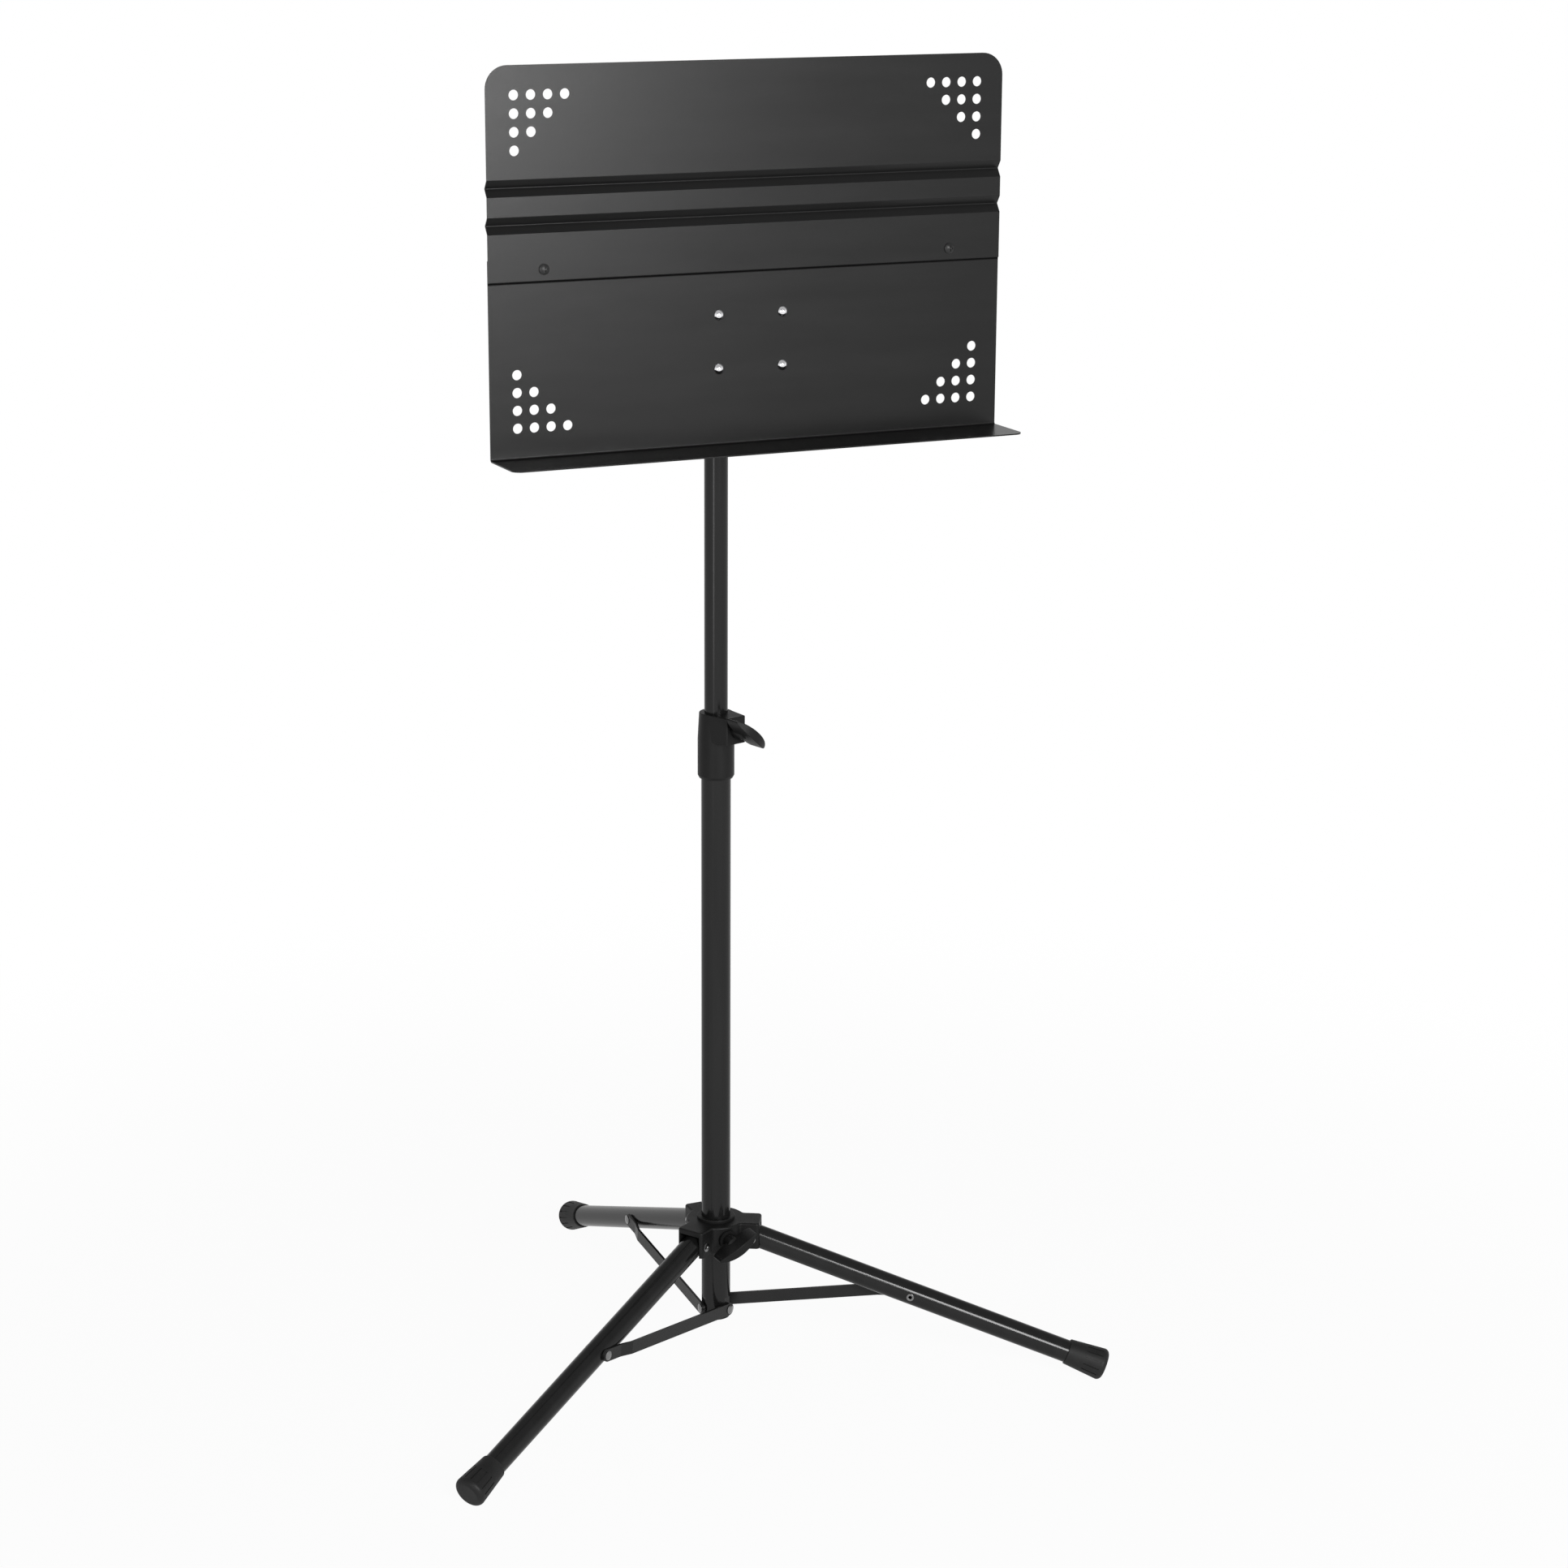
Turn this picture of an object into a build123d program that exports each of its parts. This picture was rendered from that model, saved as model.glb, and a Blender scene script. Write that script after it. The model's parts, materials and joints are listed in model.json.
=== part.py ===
from build123d import *
import os
from math import atan2, cos, degrees, hypot, radians, sin

# Folding music stand, in millimetres. The origin is on the floor under the post, +Z is up, and the desk
# faces -Y. The stand is modelled opened out, with the desk upright and the post part-way extended.

# Desk: two sheet panels that overlap, the lower one folded forward into a ledge
desk_width = 497.0
desk_height = 337.6
sheet = 1.2
ledge_height = 927.8
ledge_depth = 57.0
ledge_corner_radius = 9.0
fold_radius = 1.5
desk_reach = 75.9
desk_corner_radius = 20.0
seam_above_ledge = 153.5
panel_overlap = 19.4
panel_edge_radius = 1.0
groove_heights = (202.3, 234.0)
groove_width = 14.4
groove_depth = 5.0
groove_radius = 1.0
hole_diameter = 9.0
hole_pitch = 15.6
hole_rows = 4
hole_side_margin = 25.6
hole_top_margin = 25.1
hole_bottom_margin = 26.8

# Screws in the desk
panel_screw_spacing = 394.4
panel_screw_above_seam = 10.5
bracket_screw_spacing_x = 62.3
bracket_screw_spacing_z = 47.9
bracket_above_ledge = 91.6
screw_diameter = 5.0
screw_clearance = 0.2
screw_head_diameter = 9.5
screw_head_height = 2.8
screw_dome_rise = 1.8
screw_recess_width = 1.3
screw_recess_length = 5.2
nut_across_flats = 8.0
nut_thickness = 4.0
screw_tail = 1.5

# Bracket and tilt joint behind the desk
bracket_sheet = 2.0
bracket_height = 70.0
bracket_bend_radius = 3.0
bracket_plate_depth = 8.0
ear_radius = 14.0
tilt_bolt_diameter = 8.0
tilt_bolt_head_diameter = 17.0
tilt_bolt_head_height = 4.5
tilt_bolt_dome_rise = 2.9
barrel_length = 72.0
barrel_diameter = 26.0
barrel_edge_radius = 1.2
washer_thickness = 1.5
washer_diameter = 24.0
neck_length = 10.0
neck_flare = 6.0
neck_diameter = 16.0
spigot_length = 40.0
head_pin_diameter = 4.0

# Post: the upper tube slides and turns in the lower tube
lower_tube_diameter = 28.0
lower_tube_wall = 1.5
lower_tube_bottom = 52.0
lower_tube_top = 640.0
upper_tube_diameter = 22.0
upper_tube_wall = 1.5
upper_tube_length = 566.0
running_fit = 0.08
seat_fit = 0.02
bush_length = 26.0
bush_spigot_length = 22.0
bush_bore_diameter = 9.5
bush_chamfer = 1.2
plug_flange = 1.5
plug_depth = 4.0

# Clamp collar on top of the lower tube
collar_wall = 3.3
collar_drop = 42.4
collar_rise = 20.6
collar_chamfer = 2.6
collar_top_inset = 1.4
boss_azimuth = 286.0
boss_reach = 29.0
boss_back_width = 31.0
boss_front_width = 23.0
boss_height = 25.6
collar_rivet_diameter = 4.0
collar_rivet_head_diameter = 8.0
collar_rivet_drop = 26.0
collar_rivet_seat = 0.6

# Wing screws: a stud with a moulded thumb paddle, a captive nut and a brake pad
stud_diameter = 8.0
stud_engagement = 12.0
insert_across_flats = 13.0
insert_thickness = 6.5
insert_wall = 4.0
pad_diameter = 9.6
pad_thickness = 4.0
pad_travel = 1.8
paddle_length = 45.0
paddle_thickness = 8.6
paddle_neck = 6.0
paddle_reach = 29.0
paddle_crown = 8.5
paddle_edge_radius = 0.6
paddle_boss_diameter = 13.0
paddle_boss_length = 14.0
paddle_boss_chamfer = 2.0
clamp_paddle_turn = -42.0
hub_paddle_turn = 31.5
tilt_paddle_turn = 90.0

# Tripod: legs on a sliding hub, struts from the foot of the lower tube to the legs
leg_azimuths = {"a": 210.0, "b": 330.0, "c": 90.0}
leg_spread = 70.2
leg_diameter = 22.0
leg_wall = 1.2
leg_length = 352.0
hub_height = 26.0
hub_sleeve_wall = 10.4
hub_web_wall = 15.0
hub_arm_reach = 8.0
hub_cheek = 3.2
hub_corner_radius = 3.4
hub_edge_radius = 1.8
hub_lip_wall = 4.2
hub_lip_height = 3.0
hub_roof = 4.8
hub_boss_diameter = 19.0
hub_boss_reach = 31.5
hub_stud_above_pivot = 3.5
pivot_rivet_diameter = 5.0
rivet_head_diameter = 9.0
rivet_head_height = 1.7
rivet_dome_rise = 1.1
rivet_eye_diameter = 7.4
rivet_eye_bore = 3.4
rivet_eye_height = 0.9
moving_gap = 0.3
strut_width = 12.0
strut_thickness = 2.5
strut_base_height = 60.0
strut_leg_station = 165.0
strut_joggle_start = 34.0
strut_joggle_length = 14.0
strut_bend_radius = 4.0
strut_flat_depth = 0.6
strut_flat_height = 12.0
strut_shoulder_diameter = 8.4

# Rubber feet
foot_length = 39.5
foot_end_thickness = 15.5
foot_mouth_wall = 1.4
foot_diameter = 31.0
foot_rim_radius = 5.0
foot_press = 0.6
foot_grooves = 14
foot_groove_width = 1.3
foot_groove_depth = 0.7
foot_groove_length = 16.0
foot_groove_inset = 1.5

# Sizes worked out from those above
lower_tube_radius = lower_tube_diameter / 2
upper_tube_radius = upper_tube_diameter / 2
leg_radius = leg_diameter / 2
leg_droop = 90 - leg_spread
panel_front = -desk_reach
panel_back = panel_front + sheet
desk_top = ledge_height + desk_height
seam = ledge_height + seam_above_ledge
lower_panel_top = seam + panel_overlap
tilt_height = ledge_height + bracket_above_ledge
upper_tube_top = tilt_height - barrel_diameter / 2 - neck_length
upper_tube_bottom = upper_tube_top - upper_tube_length
lower_tube_bore = lower_tube_radius - lower_tube_wall
upper_tube_bore = upper_tube_radius - upper_tube_wall
collar_radius = lower_tube_radius + collar_wall
collar_bottom = lower_tube_top - collar_drop
collar_top = lower_tube_top + collar_rise
boss_middle = collar_top - boss_height / 2
hub_bore = lower_tube_radius + running_fit
pocket_inner = lower_tube_radius + hub_sleeve_wall
pivot_radius = pocket_inner + moving_gap + leg_radius
hub_arm_end = pivot_radius + hub_arm_reach
pocket_half_width = leg_radius + moving_gap
hub_arm_half_width = pocket_half_width + hub_cheek
foot_end = leg_length + foot_end_thickness
foot_mouth = foot_end - foot_length
rim_station = foot_end - foot_rim_radius
rim_offset = foot_diameter / 2 - foot_rim_radius
pivot_height = (
    rim_station * cos(radians(leg_spread))
    + rim_offset * sin(radians(leg_spread))
    + foot_rim_radius
    - foot_press
)
pocket_roof = pivot_height + leg_radius + moving_gap
hub_top = pocket_roof + hub_roof
hub_bottom = hub_top - hub_height
hub_stud_height = pivot_height + hub_stud_above_pivot
strut_leg_radius = pivot_radius + strut_leg_station * sin(radians(leg_spread))
strut_leg_height = pivot_height - strut_leg_station * cos(radians(leg_spread))
strut_rise = strut_leg_height - strut_base_height
strut_length = hypot(strut_leg_radius, strut_rise)
strut_tilt = degrees(atan2(strut_rise, strut_leg_radius))
strut_base_offset = lower_tube_radius + moving_gap
strut_leg_offset = leg_radius + moving_gap


def rod(radius, length):
    """A cylinder from the origin up +Z."""
    return Cylinder(radius, length, align=(Align.CENTER, Align.CENTER, Align.MIN))


def rod_x(radius, start, end):
    """A cylinder along X between two stations."""
    return Pos(start, 0, 0) * Rot(0, 90, 0) * rod(radius, end - start)


def rod_y(radius, start, end):
    """A cylinder along Y between two stations."""
    return Pos(0, start, 0) * Rot(-90, 0, 0) * rod(radius, end - start)


def ring(outer, inner, bottom, top):
    """A tube along Z."""
    return Pos(0, 0, bottom) * (rod(outer, top - bottom) - rod(inner, top - bottom))


def turned(points):
    """A solid of revolution about Z from (radius, height) points."""
    return revolve(Plane.XZ * make_face(Polyline(points, close=True)), Axis.Z)


def hexagon_x(across_flats, start, end):
    """A hexagonal prism along X with two faces level."""
    hexagon = RegularPolygon(across_flats / 2, 6, major_radius=False)
    return extrude(Plane.YZ.offset(start) * hexagon, end - start)


def dome_head(diameter, height, rise):
    """A head that sits on the XY plane: a short upright edge under a dome."""
    ball_radius = (diameter**2 / 4 + rise**2) / (2 * rise)
    return rod(diameter / 2, height) & Pos(0, 0, height - ball_radius) * Sphere(ball_radius)


def rivet_head():
    return dome_head(rivet_head_diameter, rivet_head_height, rivet_dome_rise)


def write(name, shape):
    """Save one named piece."""
    shape.label = name
    export_step(shape, f"parts/{name}.step")


def corner_holes(row_height, step):
    """Two triangles of holes that point into the panel from its left and right corners."""
    cutters = []
    cutter = rod_y(hole_diameter / 2, -ledge_depth / 2, ledge_depth / 2)
    first_x = desk_width / 2 - hole_side_margin
    for row in range(hole_rows):
        for column in range(hole_rows - row):
            x = first_x - column * hole_pitch
            z = row_height + row * step
            for side in (-1, 1):
                cutters.append(Pos(side * x, panel_front, z) * cutter)
    return cutters


def panel_screw_places():
    z = seam + panel_screw_above_seam
    return [Pos(side * panel_screw_spacing / 2, 0, z) for side in (-1, 1)]


def bracket_screw_places():
    return [
        Pos(side * bracket_screw_spacing_x / 2, 0, tilt_height + level * bracket_screw_spacing_z / 2)
        for side in (-1, 1)
        for level in (-1, 1)
    ]


def screw_holes(places):
    radius = screw_diameter / 2 + screw_clearance
    return [place * rod_y(radius, panel_front - ledge_depth / 2, 0) for place in places]


def desk_upper_panel():
    front = panel_front - sheet
    points = [(front, seam)]
    for height in groove_heights:
        middle = ledge_height + height
        points += [
            (front, middle - groove_width / 2),
            (front + groove_depth, middle),
            (front, middle + groove_width / 2),
        ]
    points.append((front, desk_top))
    points += [(y + sheet, z) for y, z in reversed(points)]
    section = Plane.YZ * make_face(Polyline(points, close=True))
    bends = section.vertices().filter_by(lambda v: seam + sheet < v.Z < desk_top - sheet)
    section = fillet(bends, groove_radius)
    lower_edge = section.vertices().sort_by_distance((0, front, seam))[0]
    section = fillet(lower_edge, panel_edge_radius)
    pressed = extrude(section, desk_width / 2, both=True)
    outline = Pos(0, seam + (desk_top - seam) / 2) * Rectangle(desk_width, desk_top - seam)
    outline = fillet(outline.vertices().group_by(Axis.Y)[-1], desk_corner_radius)
    panel = pressed & extrude(Plane.XZ * outline, 2 * desk_reach, both=True)
    panel -= corner_holes(desk_top - hole_top_margin, -hole_pitch)
    return panel - screw_holes(panel_screw_places())


def desk_lower_panel():
    ledge_front = panel_front - ledge_depth
    points = [
        (panel_back, lower_panel_top),
        (panel_back, ledge_height - sheet),
        (ledge_front, ledge_height - sheet),
        (ledge_front, ledge_height),
        (panel_front, ledge_height),
        (panel_front, lower_panel_top),
    ]
    section = Plane.YZ * make_face(Polyline(points, close=True))
    inside = section.vertices().sort_by_distance((0, panel_front, ledge_height))[0]
    section = fillet(inside, fold_radius)
    outside = section.vertices().sort_by_distance((0, panel_back, ledge_height - sheet))[0]
    section = fillet(outside, fold_radius + sheet)
    panel = extrude(section, desk_width / 2, both=True)
    panel = fillet(panel.edges().filter_by(Axis.Z).group_by(Axis.Y)[0], ledge_corner_radius)
    panel -= corner_holes(ledge_height + hole_bottom_margin, hole_pitch)
    return panel - screw_holes(panel_screw_places() + bracket_screw_places())


def screw_head(recessed):
    """A dome head, with a cross recess or plain."""
    head = dome_head(screw_head_diameter, screw_head_height, screw_dome_rise)
    if recessed:
        for turn in (0, 90):
            recess = Box(screw_recess_length, screw_recess_width, screw_head_height)
            head -= Pos(0, 0, screw_head_height) * Rot(0, 0, turn) * recess
    return head


def desk_screws(places, head_seat, nut_seat, recessed):
    """Screws whose heads sit on the front of the desk."""
    tail = nut_seat + nut_thickness + screw_tail
    shank = rod_y(screw_diameter / 2, head_seat, tail)
    screw = Pos(0, head_seat, 0) * Rot(90, 0, 0) * screw_head(recessed) + shank
    return Compound(children=[place * screw for place in places])


def desk_nuts(places, nut_seat):
    hexagon = RegularPolygon(nut_across_flats / 2, 6, major_radius=False)
    nut = extrude(hexagon - Circle(screw_diameter / 2 + seat_fit), nut_thickness)
    nut = Pos(0, nut_seat, 0) * Rot(-90, 0, 0) * nut
    return Compound(children=[place * nut for place in places])


def bracket_outer_half_width():
    return barrel_length / 2 + washer_thickness + bracket_sheet


def desk_bracket():
    """A pressed U: a plate behind the lower panel and two ears that taper back to the tilt bolt."""
    half_width = bracket_outer_half_width()
    depth = ear_radius - panel_back
    plan = Pos(0, panel_back + depth / 2) * Rectangle(2 * half_width, depth)
    plan = fillet(plan.vertices().group_by(Axis.Y)[0], bracket_bend_radius)
    inner_width = 2 * (half_width - bracket_sheet)
    inner = Pos(0, panel_back + bracket_sheet + depth / 2) * Rectangle(inner_width, depth)
    inner = fillet(inner.vertices().group_by(Axis.Y)[0], bracket_bend_radius - bracket_sheet)
    folded = Pos(0, 0, tilt_height - bracket_height / 2) * extrude(plan - inner, bracket_height)
    plate_middle = panel_back + bracket_plate_depth / 2
    plate_end = Pos(plate_middle, tilt_height) * Rectangle(bracket_plate_depth, bracket_height)
    ear_end = Pos(0, tilt_height) * Circle(ear_radius)
    side = make_hull((plate_end + ear_end).edges())
    bracket = folded & extrude(Plane.YZ * side, half_width, both=True)
    bracket -= screw_holes(bracket_screw_places())
    bolt_hole = rod_x(tilt_bolt_diameter / 2 + seat_fit, -half_width, half_width)
    return bracket - Pos(0, 0, tilt_height) * bolt_hole


def tilt_bolt():
    half_width = bracket_outer_half_width()
    head = dome_head(tilt_bolt_head_diameter, tilt_bolt_head_height, tilt_bolt_dome_rise)
    shank = rod_x(tilt_bolt_diameter / 2, -half_width, half_width + stud_engagement)
    return Pos(0, 0, tilt_height) * (Pos(-half_width, 0, 0) * Rot(0, -90, 0) * head + shank)


def tilt_paddle():
    start = bracket_outer_half_width() + moving_gap
    knob = Rot(tilt_paddle_turn, 0, 0) * paddle(start)
    knob -= rod_x(tilt_bolt_diameter / 2 + running_fit, start, start + stud_engagement)
    return Pos(0, 0, tilt_height) * knob


def friction_washers():
    washer = ring(washer_diameter / 2, tilt_bolt_diameter / 2 + running_fit, 0, washer_thickness)
    start = barrel_length / 2
    left = Pos(-start - washer_thickness, 0, tilt_height) * Rot(0, 90, 0) * washer
    right = Pos(start, 0, tilt_height) * Rot(0, 90, 0) * washer
    return Compound(children=[left, right])


def tube_head():
    """A T: a barrel for the tilt bolt on a neck, with a spigot down into the upper tube."""
    barrel_radius = barrel_diameter / 2
    barrel = rod_x(barrel_radius, -barrel_length / 2, barrel_length / 2)
    barrel = fillet(barrel.edges().filter_by(GeomType.CIRCLE), barrel_edge_radius)
    neck = turned(
        [
            (0, upper_tube_top),
            (upper_tube_radius, upper_tube_top),
            (upper_tube_radius, upper_tube_top + neck_length - neck_flare),
            (neck_diameter / 2, upper_tube_top + neck_length),
            (neck_diameter / 2, tilt_height),
            (0, tilt_height),
        ]
    )
    spigot = Pos(0, 0, upper_tube_top - spigot_length) * rod(upper_tube_bore - seat_fit, spigot_length)
    head = Pos(0, 0, tilt_height) * barrel + neck + spigot
    bolt_hole = rod_x(tilt_bolt_diameter / 2 + running_fit, -barrel_length / 2, barrel_length / 2)
    head -= Pos(0, 0, tilt_height) * bolt_hole
    return head - head_pin_at(seat_fit)


def head_pin_at(extra):
    pin = rod_x(head_pin_diameter / 2 + extra, -upper_tube_radius, upper_tube_radius)
    return Pos(0, 0, upper_tube_top - spigot_length / 2) * pin


def upper_tube():
    tube = ring(upper_tube_radius, upper_tube_bore, upper_tube_bottom, upper_tube_top)
    return tube - head_pin_at(seat_fit)


def guide_bush():
    """A plastic bush that centres the upper tube's lower end in the lower tube."""
    bore = bush_bore_diameter / 2
    skirt_bottom = upper_tube_bottom - bush_length
    skirt = ring(lower_tube_bore - running_fit, bore, skirt_bottom, upper_tube_bottom)
    skirt = chamfer(skirt.edges().filter_by(GeomType.CIRCLE).group_by(Axis.Z)[0], bush_chamfer)
    spigot_top = upper_tube_bottom + bush_spigot_length
    return skirt + ring(upper_tube_bore - running_fit, bore, upper_tube_bottom, spigot_top)


def lower_tube():
    tube = ring(lower_tube_radius, lower_tube_bore, lower_tube_bottom, lower_tube_top)
    flat_top = strut_base_height + strut_flat_height
    shank = rod_y(pivot_rivet_diameter / 2 + seat_fit, 0, lower_tube_diameter)
    for azimuth in leg_azimuths.values():
        flat = Box(
            lower_tube_diameter,
            lower_tube_radius,
            flat_top - lower_tube_bottom,
            align=(Align.CENTER, Align.MIN, Align.MIN),
        )
        seat = Pos(0, lower_tube_radius - strut_flat_depth, lower_tube_bottom) * flat
        tube -= Rot(0, 0, azimuth) * (seat + Pos(0, 0, strut_base_height) * shank)
    return tube - collar_rivet_hole()


def foot_plug():
    flange = rod(lower_tube_radius - strut_flat_depth, plug_flange)
    flange = Pos(0, 0, lower_tube_bottom - plug_flange) * flange
    return flange + Pos(0, 0, lower_tube_bottom) * rod(lower_tube_bore - seat_fit, plug_depth)


def collar_rivet_place():
    return Pos(0, 0, lower_tube_top - collar_rivet_drop) * Rot(0, 0, boss_azimuth + 180)


def collar_rivet_hole():
    """The rivet's hole, with a flat for its head on the round sleeve."""
    seat_radius = collar_rivet_head_diameter / 2 + moving_gap
    seat = rod_x(seat_radius, collar_radius - collar_rivet_seat, 2 * collar_radius)
    hole = rod_x(collar_rivet_diameter / 2 + seat_fit, 0, collar_radius)
    return collar_rivet_place() * (hole + seat)


def collar_rivet():
    head_seat = collar_radius - collar_rivet_seat
    shank = rod_x(collar_rivet_diameter / 2, lower_tube_bore, head_seat)
    head = dome_head(collar_rivet_head_diameter, rivet_head_height, rivet_dome_rise)
    return collar_rivet_place() * (shank + Pos(head_seat, 0, 0) * Rot(0, 90, 0) * head)


def clamp_frame():
    """Local +X runs out along the clamp's wing screw."""
    return Pos(0, 0, boss_middle) * Rot(0, 0, boss_azimuth)


def hub_frame():
    """Local +X runs out along the hub's wing screw, between legs a and b."""
    middle = (leg_azimuths["a"] + leg_azimuths["b"]) / 2
    return Pos(0, 0, hub_stud_height) * Rot(0, 0, middle)


def stud_chamber(bore, reach):
    """What the brake pad, the captive nut and the stud need, cut along +X from the post's bore."""
    pad_room = rod_x(pad_diameter / 2 + running_fit, 0, bore + pad_thickness + pad_travel)
    stud_room = rod_x(stud_diameter / 2 + moving_gap, 0, reach + moving_gap)
    nut_end = reach - insert_wall
    return pad_room + stud_room + hexagon_x(insert_across_flats, nut_end - insert_thickness, nut_end)


def captive_nut(reach):
    nut_end = reach - insert_wall
    nut = hexagon_x(insert_across_flats, nut_end - insert_thickness, nut_end)
    return nut - rod_x(stud_diameter / 2 + running_fit, 0, reach)


def brake_pad(tube_radius):
    """A round pad with a hollow face that presses on the tube."""
    pad = rod_x(pad_diameter / 2, 0, tube_radius + pad_thickness)
    return pad - Pos(0, 0, -pad_diameter) * rod(tube_radius + running_fit, 2 * pad_diameter)


def stud(tube_radius, paddle_start):
    return rod_x(stud_diameter / 2, tube_radius + pad_thickness + seat_fit, paddle_start + stud_engagement)


def paddle(start):
    """A thumb plate, thick in the middle and crowned at its outer edge, on a round boss along X."""
    half = paddle_length / 2
    root = start + paddle_neck
    top = start + paddle_reach
    shoulder = top - paddle_crown
    plate = extrude(Plane.YZ.offset(root) * Ellipse(half, paddle_thickness / 2), paddle_reach)
    crowned = make_face(
        [
            Polyline((shoulder, half), (root, half), (root, -half), (shoulder, -half)),
            ThreePointArc((shoulder, -half), (top, 0), (shoulder, half)),
        ]
    )
    plate &= extrude(crowned, paddle_thickness, both=True)
    rims = plate.edges().filter_by(GeomType.LINE, reverse=True)
    plate = fillet(rims, paddle_edge_radius)
    boss = rod_x(paddle_boss_diameter / 2, start, start + paddle_boss_length)
    boss = chamfer(boss.edges().filter_by(GeomType.CIRCLE).group_by(Axis.X)[-1], paddle_boss_chamfer)
    return plate + boss


def wing_screw(frame, tube_radius, reach, turn):
    """The stud and the paddle of one wing screw, as two pieces."""
    start = reach + moving_gap
    knob = Rot(turn, 0, 0) * paddle(start)
    knob -= rod_x(stud_diameter / 2 + seat_fit, start, start + stud_engagement)
    return frame * stud(tube_radius, start), frame * knob


def clamp_collar():
    """A round sleeve over the lower tube that grows into a tapered boss for the wing screw."""
    sleeve = turned(
        [
            (0, collar_bottom),
            (collar_radius - collar_chamfer / 2, collar_bottom),
            (collar_radius, collar_bottom + collar_chamfer),
            (collar_radius, collar_top - boss_height),
            (collar_radius - collar_top_inset, collar_top),
            (0, collar_top),
        ]
    )
    plan = make_face(
        Polyline(
            (0, -boss_back_width / 2),
            (boss_reach, -boss_front_width / 2),
            (boss_reach, boss_front_width / 2),
            (0, boss_back_width / 2),
            close=True,
        )
    )
    plan = fillet(plan.vertices().group_by(Axis.X)[-1], hub_edge_radius)
    boss = Rot(0, 0, boss_azimuth) * extrude(plan, boss_height)
    collar = sleeve + Pos(0, 0, collar_top - boss_height) * boss
    collar = fillet(collar.edges().group_by(Axis.Z)[-1], hub_edge_radius / 2)
    tube_seat = Pos(0, 0, collar_bottom) * rod(lower_tube_radius + seat_fit, collar_drop)
    tube_run = rod(upper_tube_radius + running_fit, collar_top - collar_bottom)
    collar -= tube_seat + Pos(0, 0, collar_bottom) * tube_run
    collar -= clamp_frame() * stud_chamber(upper_tube_radius, boss_reach)
    return collar - collar_rivet_hole()


def leg_frame(azimuth):
    """Local +X runs down the leg from its pivot, and +Y to the side where the strut lies."""
    return Rot(0, 0, azimuth) * Pos(pivot_radius, 0, pivot_height) * Rot(0, leg_droop, 0)


def strut_frame(azimuth):
    """Local +X runs out along the strut from its pivot on the lower tube."""
    return Rot(0, 0, azimuth) * Pos(0, 0, strut_base_height) * Rot(0, -strut_tilt, 0)


def hub():
    """The sliding hub: a sleeve with three clevises, open below, that hold the legs' ends."""
    arm = Pos(hub_arm_end / 2, 0) * Rectangle(hub_arm_end, 2 * hub_arm_half_width)
    plan = Circle(lower_tube_radius + hub_web_wall)
    for azimuth in leg_azimuths.values():
        plan += Rot(0, 0, azimuth) * arm
    plan = fillet(plan.vertices(), hub_corner_radius)
    body = Pos(0, 0, hub_bottom) * extrude(plan, hub_height)
    body = fillet(body.edges().group_by(Axis.Z)[-1], hub_edge_radius)
    lip_radius = lower_tube_radius + hub_lip_wall
    lip = Pos(0, 0, hub_bottom) * rod(lip_radius, hub_height + hub_lip_height)
    body += fillet(lip.edges().group_by(Axis.Z)[-1], hub_edge_radius / 2)
    boss = rod_x(hub_boss_diameter / 2, lower_tube_radius, hub_boss_reach)
    body += hub_frame() * boss
    body -= Pos(0, 0, hub_bottom) * rod(hub_bore, hub_height + hub_lip_height)
    body -= hub_frame() * stud_chamber(lower_tube_radius, hub_boss_reach)
    pocket = Box(
        hub_arm_end,
        2 * pocket_half_width,
        pocket_roof - hub_bottom,
        align=(Align.MIN, Align.CENTER, Align.MIN),
    )
    pocket = Pos(pocket_inner, 0, hub_bottom) * pocket
    shank = Pos(pivot_radius, 0, pivot_height) * rod_y(
        pivot_rivet_diameter / 2 + seat_fit, -hub_arm_end, hub_arm_end
    )
    for azimuth in leg_azimuths.values():
        body -= Rot(0, 0, azimuth) * (pocket + shank)
    return body


def leg_pivot_rivets():
    """A rivet through each clevis, with a dimple in its set end."""
    half = hub_arm_half_width
    shank = rod_y(pivot_rivet_diameter / 2, -half, half)
    dimple = Pos(0, 0, rivet_head_height) * Sphere(rivet_eye_bore / 2)
    rivet = shank + Pos(0, half, 0) * Rot(-90, 0, 0) * (rivet_head() - dimple)
    rivet += Pos(0, -half, 0) * Rot(90, 0, 0) * rivet_head()
    places = [Rot(0, 0, a) * Pos(pivot_radius, 0, pivot_height) for a in leg_azimuths.values()]
    return Compound(children=[place * rivet for place in places])


def leg(azimuth):
    """A round tube whose inner end is rounded about its pivot."""
    bore = rod_x(leg_radius - leg_wall, -leg_radius, leg_length)
    tube = rod_x(leg_radius, -leg_radius, leg_length) - bore
    keep = rod_y(leg_radius, -leg_radius, leg_radius)
    keep += Box(leg_length, leg_diameter, leg_diameter, align=(Align.MIN, Align.CENTER, Align.CENTER))
    tube &= keep
    tube -= rod_y(pivot_rivet_diameter / 2 + running_fit, -leg_radius, leg_radius)
    eyelet_hole = rod_y(pivot_rivet_diameter / 2 + seat_fit, -leg_radius, leg_radius)
    tube -= Pos(strut_leg_station, 0, 0) * eyelet_hole
    return leg_frame(azimuth) * tube


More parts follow.
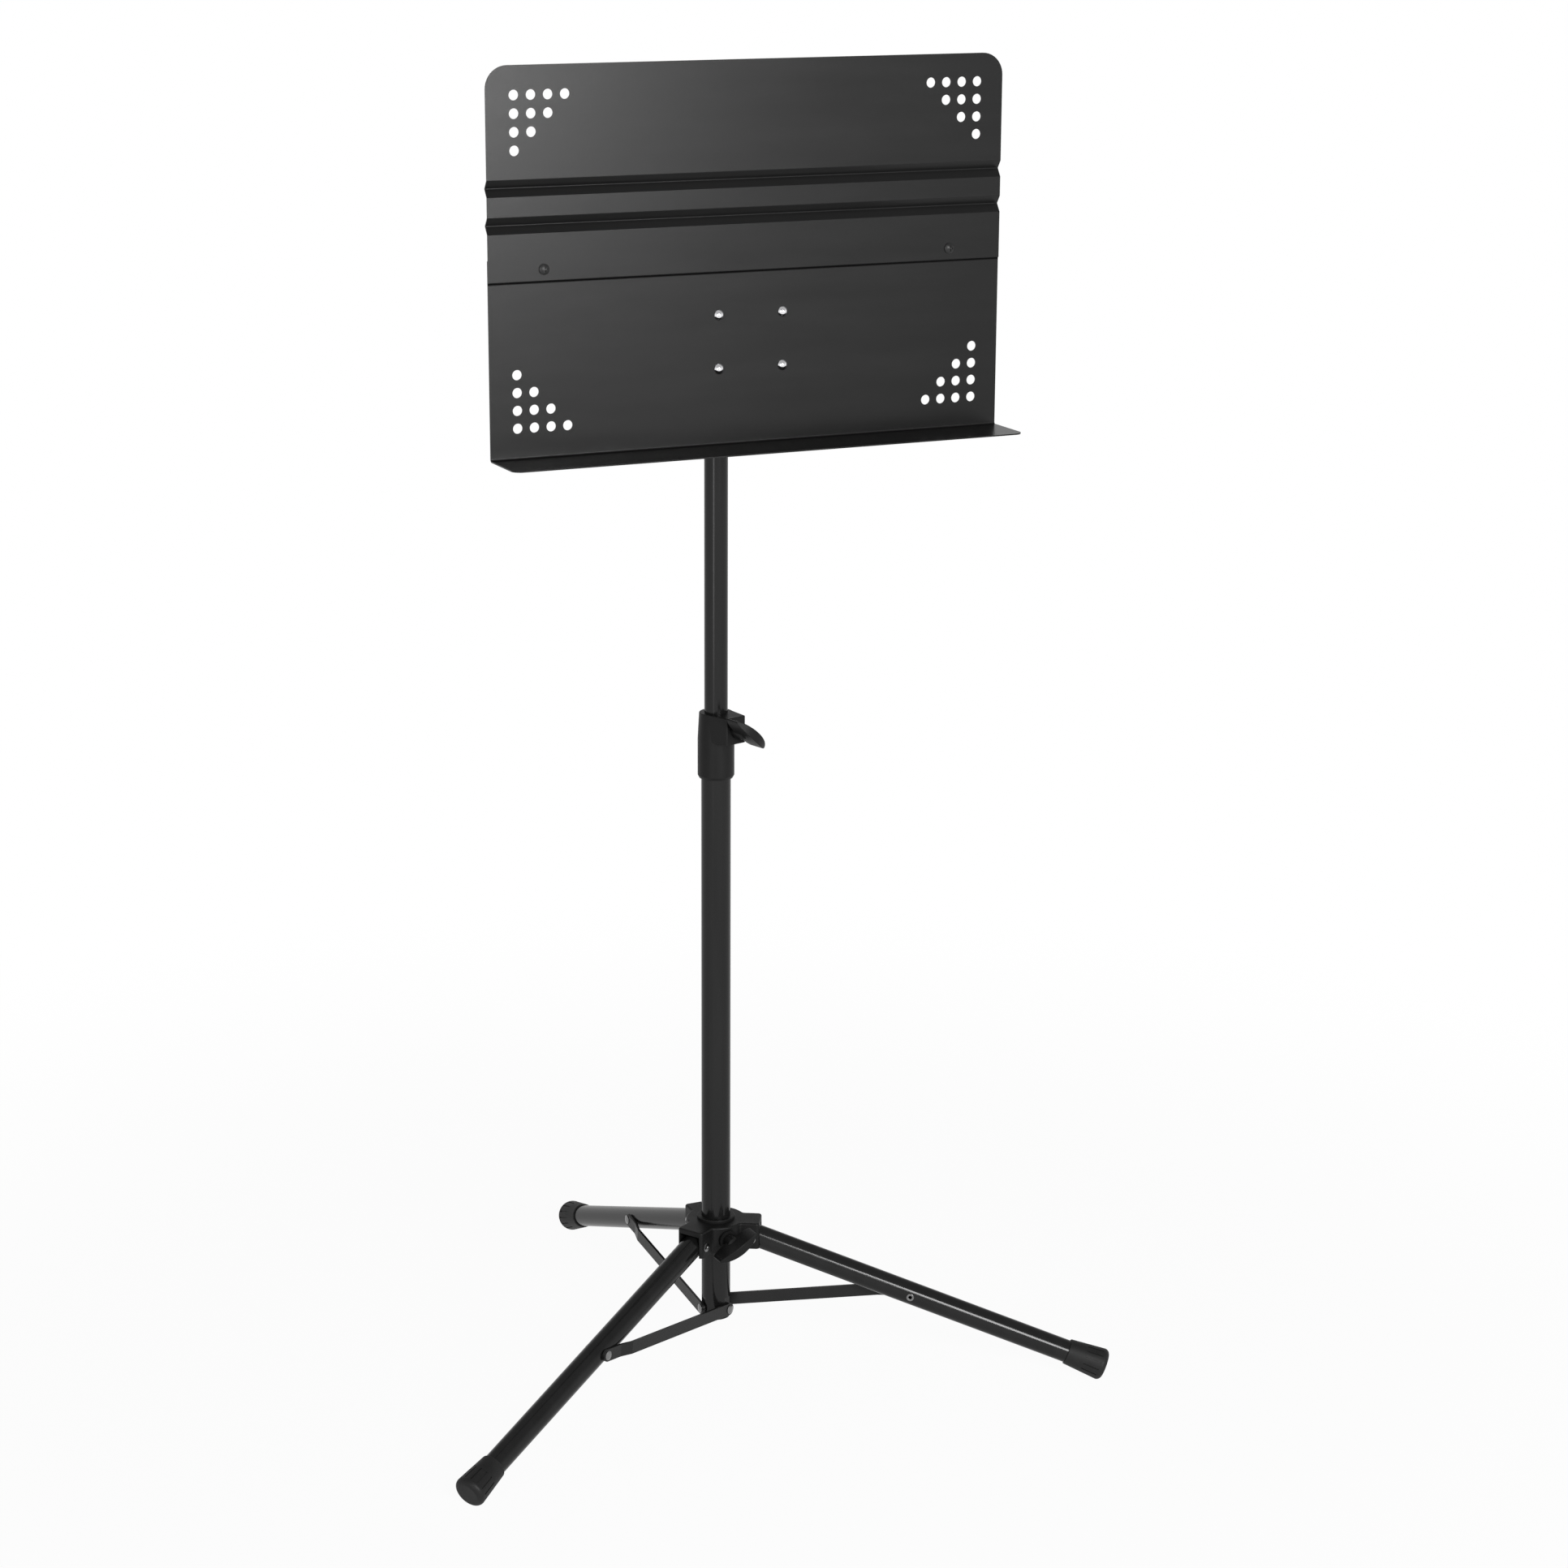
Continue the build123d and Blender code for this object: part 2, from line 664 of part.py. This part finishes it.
def leg_eyelet(azimuth):
    """A hollow rivet through the leg: its rolled eye shows on the side away from the strut."""
    body = ring(pivot_rivet_diameter / 2, rivet_eye_bore / 2, 0, leg_diameter)
    eye_top = leg_diameter + rivet_eye_height
    eye = ring(rivet_eye_diameter / 2, rivet_eye_bore / 2, leg_diameter, eye_top)
    eye = fillet(eye.edges().filter_by(GeomType.CIRCLE).group_by(Axis.Z)[-1], rivet_eye_height / 2)
    return leg_frame(azimuth) * Pos(strut_leg_station, leg_radius, 0) * Rot(90, 0, 0) * (body + eye)


def foot(azimuth):
    """A flared rubber foot with short grooves, pressed flat where it stands on the floor."""
    mouth_radius = leg_radius + foot_mouth_wall
    outline = make_face(
        Polyline(
            (foot_mouth, 0),
            (foot_mouth, mouth_radius),
            (rim_station, foot_diameter / 2),
            (foot_end, foot_diameter / 2),
            (foot_end, 0),
            close=True,
        )
    )
    rim = outline.vertices().sort_by_distance((foot_end, foot_diameter / 2))[0]
    outline = fillet(rim, foot_rim_radius)
    mouth = outline.vertices().sort_by_distance((foot_mouth, mouth_radius))[0]
    outline = fillet(mouth, foot_mouth_wall / 2)
    body = revolve(Plane.XZ * outline, Axis.X)
    body -= rod_x(leg_radius + seat_fit, foot_mouth, leg_length + seat_fit)
    flare = degrees(atan2(foot_diameter / 2 - mouth_radius, rim_station - foot_mouth))
    groove = Box(
        foot_groove_length,
        foot_groove_width,
        2 * foot_groove_depth,
        align=(Align.MAX, Align.CENTER, Align.CENTER),
    )
    groove = Pos(-foot_groove_inset, 0, 0) * groove
    groove = Pos(rim_station, 0, foot_diameter / 2) * Rot(0, -flare, 0) * groove
    grooves = [Rot(360 / foot_grooves * (i + 0.5), 0, 0) * groove for i in range(foot_grooves)]
    placed = leg_frame(azimuth) * (body - grooves)
    return split(placed, Plane.XY, keep=Keep.TOP)


def strut(azimuth):
    """A flat bar that steps in towards the leg near its outer end."""
    step_end = strut_length - strut_joggle_start + strut_joggle_length
    inner = [
        (-strut_width, strut_base_offset),
        (strut_length - strut_joggle_start, strut_base_offset),
        (step_end, strut_leg_offset),
        (strut_length + strut_width, strut_leg_offset),
    ]
    outer = [(x, y + strut_thickness) for x, y in reversed(inner)]
    section = make_face(Polyline(inner + outer, close=True))
    bends = section.vertices().filter_by(lambda v: 0 < v.X < strut_length)
    section = fillet(bends, strut_bend_radius)
    bar = extrude(section, strut_width / 2, both=True)
    slot = Pos(strut_length / 2, 0) * SlotCenterToCenter(strut_length, strut_width)
    bar &= extrude(Plane.XZ * slot, lower_tube_diameter, both=True)
    bar -= rod_y(pivot_rivet_diameter / 2 + running_fit, 0, lower_tube_diameter)
    rivet_hole = rod_y(pivot_rivet_diameter / 2 + seat_fit, 0, lower_tube_diameter)
    bar -= Pos(strut_length, 0, 0) * rivet_hole
    return strut_frame(azimuth) * bar


def strut_rivet(azimuth):
    """The strut's half of the joint at the leg: a head on the outer face and a shank in the bar."""
    outer = strut_leg_offset + strut_thickness
    shank = rod_y(pivot_rivet_diameter / 2, strut_leg_offset, outer)
    head = Pos(0, outer, 0) * Rot(-90, 0, 0) * rivet_head()
    return strut_frame(azimuth) * Pos(strut_length, 0, 0) * (shank + head)


def base_rivets():
    """Shouldered rivets in the flats of the lower tube, which the struts turn on."""
    flat = lower_tube_radius - strut_flat_depth
    outer = strut_base_offset + strut_thickness + running_fit
    shank = rod_y(pivot_rivet_diameter / 2, lower_tube_bore - lower_tube_wall, outer)
    shoulder = rod_y(strut_shoulder_diameter / 2, flat, strut_base_offset - running_fit)
    head = Pos(0, outer, 0) * Rot(-90, 0, 0) * rivet_head()
    rivet = Pos(0, 0, strut_base_height) * (shank + shoulder + head)
    return Compound(children=[Rot(0, 0, a) * rivet for a in leg_azimuths.values()])


os.makedirs("parts", exist_ok=True)

panel_nut_seat = panel_back
bracket_nut_seat = panel_back + bracket_sheet
write("desk_upper_panel", desk_upper_panel())
write("desk_lower_panel", desk_lower_panel())
write("panel_screws", desk_screws(panel_screw_places(), panel_front - sheet, panel_nut_seat, True))
write("panel_nuts", desk_nuts(panel_screw_places(), panel_nut_seat))
write("bracket_screws", desk_screws(bracket_screw_places(), panel_front, bracket_nut_seat, False))
write("bracket_nuts", desk_nuts(bracket_screw_places(), bracket_nut_seat))
write("desk_bracket", desk_bracket())
write("tilt_bolt", tilt_bolt())
write("tilt_paddle", tilt_paddle())
write("friction_washers", friction_washers())
write("tube_head", tube_head())
write("head_pin", head_pin_at(0))
write("upper_tube", upper_tube())
write("guide_bush", guide_bush())
write("lower_tube", lower_tube())
write("foot_plug", foot_plug())
write("clamp_collar", clamp_collar())
write("collar_rivet", collar_rivet())

clamp_stud, clamp_paddle = wing_screw(clamp_frame(), upper_tube_radius, boss_reach, clamp_paddle_turn)
write("clamp_nut", clamp_frame() * captive_nut(boss_reach))
write("clamp_pad", clamp_frame() * brake_pad(upper_tube_radius))
write("clamp_stud", clamp_stud)
write("clamp_paddle", clamp_paddle)

hub_stud, hub_paddle = wing_screw(hub_frame(), lower_tube_radius, hub_boss_reach, hub_paddle_turn)
write("hub", hub())
write("hub_nut", hub_frame() * captive_nut(hub_boss_reach))
write("hub_pad", hub_frame() * brake_pad(lower_tube_radius))
write("hub_stud", hub_stud)
write("hub_paddle", hub_paddle)
write("leg_pivot_rivets", leg_pivot_rivets())
write("base_rivets", base_rivets())

for letter, azimuth in leg_azimuths.items():
    write(f"leg_{letter}", leg(azimuth))
    write(f"leg_eyelet_{letter}", leg_eyelet(azimuth))
    write(f"foot_{letter}", foot(azimuth))
    write(f"strut_{letter}", strut(azimuth))
    write(f"strut_rivet_{letter}", strut_rivet(azimuth))

print(f"pivot radius {pivot_radius:.2f} height {pivot_height:.2f}, tilt axis {tilt_height:.2f}")
print(f"strut length {strut_length:.2f}, tilt {strut_tilt:.2f}, leg station {strut_leg_station:.2f}")
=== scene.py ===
import json
import math

import bpy
from mathutils import Matrix, Vector

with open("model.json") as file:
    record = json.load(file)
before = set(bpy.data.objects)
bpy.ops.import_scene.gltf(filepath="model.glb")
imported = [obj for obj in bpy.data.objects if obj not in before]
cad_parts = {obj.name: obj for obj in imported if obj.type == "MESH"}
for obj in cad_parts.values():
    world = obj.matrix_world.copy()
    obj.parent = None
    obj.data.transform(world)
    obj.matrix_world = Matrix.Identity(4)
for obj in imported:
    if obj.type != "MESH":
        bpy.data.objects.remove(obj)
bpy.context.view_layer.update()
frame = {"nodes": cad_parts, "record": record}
scene = bpy.context.scene
nodes = frame["nodes"]

# Studio: lengths in metres, levels where 1 is white, and the world's heights from 0 level to 1 overhead
floor_reach = 60.0
floor_drop = 0.0004
floor_grey = 0.86
shadow_floor_radius = 0.5
white_floor_radius = 1.6
near_white_share = 0.955
horizon_end = 0.05
ceiling_start = 0.55
ceiling_level = 0.5
world_light = 0.2

# Finishes: the middle of a noise, and lengths in metres
noise_low = 0.3
noise_high = 0.7
noise_roughness = 0.55
slow_detail = 4.0
fine_detail = 2.0
peel_height = 0.0006
grain_height = 0.0002
mark_height = 0.0001
even_blend = 0.5
# Painted shadow on the lower panel under the upper panel's edge: its height and width in metres, and the
# share of the width that is darkest
seam_height = 1.0813
seam_shade_width = 0.0022
seam_dark_share = 0.4
head_roundness = 1.7

# Camera at the photograph's viewing angle, from the calibrated picture, in pixels, metres and degrees
picture_pixels = 1932.0
focal_pixels = 4358.52
sensor_millimetres = 36.0
camera_reach = 50.0
camera_place = (-1.315612, -2.930088, 1.471675)
camera_angles = (-25.322, -15.341, 0.313)


# Node helpers

def new_material(name):
    material = bpy.data.materials.new(name)
    material.use_nodes = True
    tree = material.node_tree
    tree.nodes.clear()
    output = tree.nodes.new("ShaderNodeOutputMaterial")
    shader = tree.nodes.new("ShaderNodeBsdfPrincipled")
    tree.links.new(shader.outputs["BSDF"], output.inputs["Surface"])
    return material, tree, shader


def object_coordinates(tree, stretch=(1.0, 1.0, 1.0)):
    """Object coordinates in metres, stretched for streaks."""
    place = tree.nodes.new("ShaderNodeTexCoord")
    mapping = tree.nodes.new("ShaderNodeMapping")
    mapping.inputs["Scale"].default_value = stretch
    tree.links.new(place.outputs["Object"], mapping.inputs["Vector"])
    return mapping.outputs["Vector"]


def noise(tree, vector, scale, detail):
    node = tree.nodes.new("ShaderNodeTexNoise")
    node.inputs["Scale"].default_value = scale
    node.inputs["Detail"].default_value = detail
    node.inputs["Roughness"].default_value = noise_roughness
    tree.links.new(vector, node.inputs["Vector"])
    return node.outputs["Fac"]


def ramp(tree, value, low, high, first, last):
    """A colour that goes from first to last as value goes from low to high."""
    node = tree.nodes.new("ShaderNodeValToRGB")
    node.color_ramp.elements[0].position = low
    node.color_ramp.elements[0].color = (*first, 1.0)
    node.color_ramp.elements[1].position = high
    node.color_ramp.elements[1].color = (*last, 1.0)
    tree.links.new(value, node.inputs["Fac"])
    return node.outputs["Color"]


def spread(tree, value, low, high):
    """Maps the middle of a noise onto a range."""
    node = tree.nodes.new("ShaderNodeMapRange")
    node.inputs["From Min"].default_value = noise_low
    node.inputs["From Max"].default_value = noise_high
    node.inputs["To Min"].default_value = low
    node.inputs["To Max"].default_value = high
    tree.links.new(value, node.inputs["Value"])
    return node.outputs["Result"]


def bump(tree, height, strength, distance, normal=None):
    node = tree.nodes.new("ShaderNodeBump")
    node.inputs["Strength"].default_value = strength
    node.inputs["Distance"].default_value = distance
    tree.links.new(height, node.inputs["Height"])
    if normal is not None:
        tree.links.new(normal, node.inputs["Normal"])
    return node.outputs["Normal"]


def grey(value, tint=0.0):
    return (value, value, value * (1.0 + tint))


def combine(tree, operation, first, second):
    node = tree.nodes.new("ShaderNodeMath")
    node.operation = operation
    tree.links.new(first, node.inputs[0])
    tree.links.new(second, node.inputs[1])
    return node.outputs[0]


def edge_gloss(tree, facing, edge):
    """A gloss level that falls from surfaces that face the eye to those seen edge-on."""
    weight = tree.nodes.new("ShaderNodeLayerWeight")
    weight.inputs["Blend"].default_value = even_blend
    node = tree.nodes.new("ShaderNodeMapRange")
    node.inputs["To Min"].default_value = facing
    node.inputs["To Max"].default_value = edge
    tree.links.new(weight.outputs["Facing"], node.inputs["Value"])
    return node.outputs["Result"]


def seam_shade(tree):
    """A painted shadow: 0 in the narrow shadow under the upper panel's edge, on the front of the sheet,
    and 1 elsewhere.
    """
    place = tree.nodes.new("ShaderNodeTexCoord")
    split = tree.nodes.new("ShaderNodeSeparateXYZ")
    tree.links.new(place.outputs["Object"], split.inputs["Vector"])
    below = tree.nodes.new("ShaderNodeMath")
    below.operation = "SUBTRACT"
    below.inputs[0].default_value = seam_height
    tree.links.new(split.outputs["Z"], below.inputs[1])
    lit = tree.nodes.new("ShaderNodeMapRange")
    lit.interpolation_type = "SMOOTHSTEP"
    lit.inputs["From Min"].default_value = seam_dark_share * seam_shade_width
    lit.inputs["From Max"].default_value = seam_shade_width
    tree.links.new(below.outputs[0], lit.inputs["Value"])
    facing = tree.nodes.new("ShaderNodeSeparateXYZ")
    tree.links.new(place.outputs["Normal"], facing.inputs["Vector"])
    back = tree.nodes.new("ShaderNodeMath")
    back.operation = "GREATER_THAN"
    back.inputs[1].default_value = 0.0
    tree.links.new(facing.outputs["Y"], back.inputs[0])
    return combine(tree, "MAXIMUM", lit.outputs["Result"], back.outputs[0])


def turned_normal(tree, normal, source, target):
    node = tree.nodes.new("ShaderNodeVectorTransform")
    node.vector_type = "NORMAL"
    node.convert_from = source
    node.convert_to = target
    tree.links.new(normal, node.inputs["Vector"])
    return node.outputs["Vector"]


def rounder_normal(tree, across):
    """The surface normal with its part across the desk's Y axis enlarged.

    A low dome then shines like a ball.
    """
    surface = tree.nodes.new("ShaderNodeNewGeometry")
    wider = tree.nodes.new("ShaderNodeVectorMath")
    wider.operation = "MULTIPLY"
    wider.inputs[1].default_value = (across, 1.0, across)
    tree.links.new(turned_normal(tree, surface.outputs["Normal"], "WORLD", "OBJECT"), wider.inputs[0])
    return turned_normal(tree, wider.outputs["Vector"], "OBJECT", "WORLD")


def seen_directly(tree):
    """1 for what the camera, reflections and clear glass see, 0 for what lights the object."""
    path = tree.nodes.new("ShaderNodeLightPath")
    seen = combine(tree, "MAXIMUM", path.outputs["Is Camera Ray"], path.outputs["Is Glossy Ray"])
    return combine(tree, "MAXIMUM", seen, path.outputs["Is Transmission Ray"])


# Materials

def coated(name, dark, light, rough, streak, streak_scale, grain_scale, grain, peel_scale, peel,
           specular, edge_specular=None, shaded_seam=False):
    """A coat of paint or moulded plastic: slow streaks of tone, a fine grain and a longer orange peel."""
    material, tree, shader = new_material(name)
    streaks = noise(tree, object_coordinates(tree, streak), streak_scale, slow_detail)
    plain = object_coordinates(tree)
    grains = noise(tree, plain, grain_scale, fine_detail)
    peels = noise(tree, plain, peel_scale, fine_detail)
    tree.links.new(ramp(tree, streaks, noise_low, noise_high, dark, light), shader.inputs["Base Color"])
    tree.links.new(spread(tree, streaks, *rough), shader.inputs["Roughness"])
    normal = bump(tree, peels, peel, peel_height)
    normal = bump(tree, grains, grain, grain_height, normal)
    tree.links.new(normal, shader.inputs["Normal"])
    shader.inputs["Specular IOR Level"].default_value = specular
    if edge_specular is None:
        return material
    gloss = edge_gloss(tree, specular, edge_specular)
    # Painted shadow: the gloss is cut away in a narrow band under the upper panel's edge
    if shaded_seam:
        gloss = combine(tree, "MULTIPLY", gloss, seam_shade(tree))
    tree.links.new(gloss, shader.inputs["Specular IOR Level"])
    return material


def metal(name, dark, light, rough, streak, streak_scale, scratch, across=None):
    """Bare or plated metal with fine marks."""
    material, tree, shader = new_material(name)
    marks = noise(tree, object_coordinates(tree, streak), streak_scale, slow_detail)
    tree.links.new(ramp(tree, marks, noise_low, noise_high, dark, light), shader.inputs["Base Color"])
    tree.links.new(spread(tree, marks, *rough), shader.inputs["Roughness"])
    normal = rounder_normal(tree, across) if across else None
    tree.links.new(bump(tree, marks, scratch, mark_height, normal), shader.inputs["Normal"])
    shader.inputs["Metallic"].default_value = 1.0
    return material


desk_coat = dict(
    dark=grey(0.0045), light=grey(0.0065), rough=(0.275, 0.305),
    streak=(5.0, 25.0, 30.0), streak_scale=1.6,
    grain_scale=2600.0, grain=0.08, peel_scale=420.0, peel=0.04,
    specular=0.285, edge_specular=0.15)
desk_paint = coated("desk_powder_coat", **desk_coat)
# The same coat with a painted shadow along the seam under the upper panel's edge
seam_shadow_paint = coated("desk_powder_coat_with_painted_seam_shadow", **desk_coat, shaded_seam=True)
tube_paint = coated(
    "tube_gloss_coat", dark=grey(0.007), light=grey(0.011), rough=(0.15, 0.18),
    streak=(60.0, 60.0, 4.0), streak_scale=1.5,
    grain_scale=2200.0, grain=0.002, peel_scale=300.0, peel=0.002,
    specular=0.31, edge_specular=0.02)
bar_paint = coated(
    "bar_satin_coat", dark=grey(0.010), light=grey(0.014), rough=(0.32, 0.40),
    streak=(20.0, 20.0, 20.0), streak_scale=2.0,
    grain_scale=2400.0, grain=0.10, peel_scale=380.0, peel=0.06,
    specular=0.28, edge_specular=0.1)
plastic = coated(
    "moulded_plastic_grain", dark=grey(0.008), light=grey(0.011), rough=(0.36, 0.46),
    streak=(25.0, 25.0, 25.0), streak_scale=1.5,
    grain_scale=1900.0, grain=0.10, peel_scale=260.0, peel=0.03,
    specular=0.18, edge_specular=0.05)
rubber = coated(
    "foot_rubber", dark=grey(0.011), light=grey(0.018), rough=(0.46, 0.58),
    streak=(30.0, 30.0, 30.0), streak_scale=2.0,
    grain_scale=1500.0, grain=0.12, peel_scale=240.0, peel=0.06,
    specular=0.25, edge_specular=0.08)
black_oxide = coated(
    "black_oxide", dark=grey(0.010), light=grey(0.016), rough=(0.34, 0.46),
    streak=(80.0, 80.0, 80.0), streak_scale=2.0,
    grain_scale=3000.0, grain=0.10, peel_scale=600.0, peel=0.05,
    specular=0.4, edge_specular=0.2)
fibre = coated(
    "friction_fibre", dark=(0.09, 0.075, 0.06), light=(0.16, 0.14, 0.11), rough=(0.75, 0.9),
    streak=(60.0, 60.0, 60.0), streak_scale=3.0,
    grain_scale=1800.0, grain=0.4, peel_scale=500.0, peel=0.2,
    specular=0.3)
chrome = metal(
    "polished_chrome", dark=grey(0.74, 0.02), light=grey(0.84, 0.02), rough=(0.05, 0.10),
    streak=(200.0, 200.0, 200.0), streak_scale=3.0, scratch=0.02, across=head_roundness)
# Rivet steel with painted shade: its colour is kept far darker than bare steel, standing in for dark
# surroundings reflected in the heads
rivet_steel = metal(
    "rivet_steel_with_painted_dark_reflection", dark=grey(0.17), light=grey(0.23), rough=(0.22, 0.30),
    streak=(60.0, 60.0, 60.0), streak_scale=3.0, scratch=0.03)
zinc = metal(
    "zinc_plate", dark=(0.46, 0.47, 0.48), light=(0.60, 0.60, 0.58), rough=(0.28, 0.42),
    streak=(150.0, 150.0, 150.0), streak_scale=3.0, scratch=0.10)
brass = metal(
    "brass_insert", dark=(0.60, 0.42, 0.17), light=(0.78, 0.58, 0.27), rough=(0.25, 0.40),
    streak=(150.0, 150.0, 150.0), streak_scale=3.0, scratch=0.10)

finish = {
    "desk_paint": desk_paint,
    "bracket_paint": bar_paint,
    "tube_paint": tube_paint,
    "moulded_plastic": plastic,
    "foot_rubber": rubber,
    "black_screws": black_oxide,
    "chrome": chrome,
    "rivet_steel": rivet_steel,
    "zinc_steel": zinc,
    "brass": brass,
    "fibre": fibre,
}
for part in frame["record"]["subparts"]:
    node = nodes[part["node"]]
    node.data.materials.clear()
    node.data.materials.append(finish[part["material_slot"]])
# The lower panel takes the coat with the painted shadow under the upper panel's edge
nodes["desk_lower_panel"].data.materials[0] = seam_shadow_paint


# World: a bright horizon under a darker ceiling, seen at full strength and lighting the object with less

world = bpy.data.worlds.new("studio")
scene.world = world
world.use_nodes = True
tree = world.node_tree
tree.nodes.clear()
world_output = tree.nodes.new("ShaderNodeOutputWorld")
room = tree.nodes.new("ShaderNodeBackground")
direction = tree.nodes.new("ShaderNodeTexCoord")
height = tree.nodes.new("ShaderNodeSeparateXYZ")
tree.links.new(direction.outputs["Generated"], height.inputs["Vector"])
sky = ramp(tree, height.outputs["Z"], horizon_end, ceiling_start, grey(1.0), grey(ceiling_level))
tree.links.new(sky, room.inputs["Color"])
strength = tree.nodes.new("ShaderNodeMapRange")
strength.inputs["To Min"].default_value = world_light
strength.inputs["To Max"].default_value = 1.0
tree.links.new(seen_directly(tree), strength.inputs["Value"])
tree.links.new(strength.outputs["Result"], room.inputs["Strength"])
tree.links.new(room.outputs["Background"], world_output.inputs["Surface"])


# Floor: white to the camera and in reflections, and matt in a share that keeps the shadow near the feet

def white_share(tree):
    """How much of the floor is plain white: less near the stand, all of it further out."""
    place = tree.nodes.new("ShaderNodeTexCoord")
    distance = tree.nodes.new("ShaderNodeVectorMath")
    distance.operation = "LENGTH"
    tree.links.new(place.outputs["Object"], distance.inputs[0])
    node = tree.nodes.new("ShaderNodeMapRange")
    node.interpolation_type = "SMOOTHSTEP"
    node.inputs["From Min"].default_value = shadow_floor_radius
    node.inputs["From Max"].default_value = white_floor_radius
    node.inputs["To Min"].default_value = near_white_share
    node.inputs["To Max"].default_value = 1.0
    tree.links.new(distance.outputs["Value"], node.inputs["Value"])
    return node.outputs["Result"]


bpy.ops.mesh.primitive_plane_add(size=2.0 * floor_reach, location=(0.0, 0.0, -floor_drop))
floor = bpy.context.object
floor.name = "floor"
floor_material = bpy.data.materials.new("pale_floor")
floor_material.use_nodes = True
tree = floor_material.node_tree
tree.nodes.clear()
floor_output = tree.nodes.new("ShaderNodeOutputMaterial")
matt = tree.nodes.new("ShaderNodeBsdfDiffuse")
matt.inputs["Color"].default_value = (*grey(floor_grey), 1.0)
glow = tree.nodes.new("ShaderNodeEmission")
glow.inputs["Strength"].default_value = 1.0
chooser = tree.nodes.new("ShaderNodeMixShader")
white = combine(tree, "MULTIPLY", seen_directly(tree), white_share(tree))
tree.links.new(white, chooser.inputs["Fac"])
tree.links.new(matt.outputs["BSDF"], chooser.inputs[1])
tree.links.new(glow.outputs["Emission"], chooser.inputs[2])
tree.links.new(chooser.outputs["Shader"], floor_output.inputs["Surface"])
floor.data.materials.append(floor_material)


# Lights, in metres and watts

def softbox(name, place, aim, width, height, power):
    data = bpy.data.lights.new(name, "AREA")
    data.shape = "RECTANGLE"
    data.size = width
    data.size_y = height
    data.energy = power
    lamp = bpy.data.objects.new(name, data)
    scene.collection.objects.link(lamp)
    lamp.location = place
    lamp.visible_camera = False
    lamp.rotation_euler = (Vector(aim) - Vector(place)).to_track_quat("-Z", "Y").to_euler()


softbox("overhead_softbox", place=(-0.3, -3.5, 2.02), aim=(0.2, -0.12, 0.1),
        width=0.52, height=1.25, power=50.0)
softbox("front_softbox", place=(0.48, -3.13, 1.18), aim=(0.0, 0.0, 1.15),
        width=0.85, height=0.45, power=36.0)
softbox("left_strip", place=(-2.2, -2.05, 1.0), aim=(0.0, 0.0, 0.7),
        width=0.5, height=2.0, power=12.0)


# Camera

yaw, pitch, roll = (math.radians(angle) for angle in camera_angles)
forward = Vector((-math.sin(yaw) * math.cos(pitch), math.cos(yaw) * math.cos(pitch), math.sin(pitch)))
level = Vector((math.cos(yaw), math.sin(yaw), 0.0))
above = level.cross(forward)
right = math.cos(roll) * level + math.sin(roll) * above
up = math.cos(roll) * above - math.sin(roll) * level
camera_data = bpy.data.cameras.new("camera")
camera_data.sensor_width = sensor_millimetres
camera_data.lens = focal_pixels / picture_pixels * sensor_millimetres
camera_data.clip_end = camera_reach
camera = bpy.data.objects.new("camera", camera_data)
scene.collection.objects.link(camera)
turn = Matrix((right, up, -forward)).transposed().to_4x4()
camera.matrix_world = Matrix.Translation(camera_place) @ turn
scene.camera = camera
scene.view_settings.view_transform = "Standard"
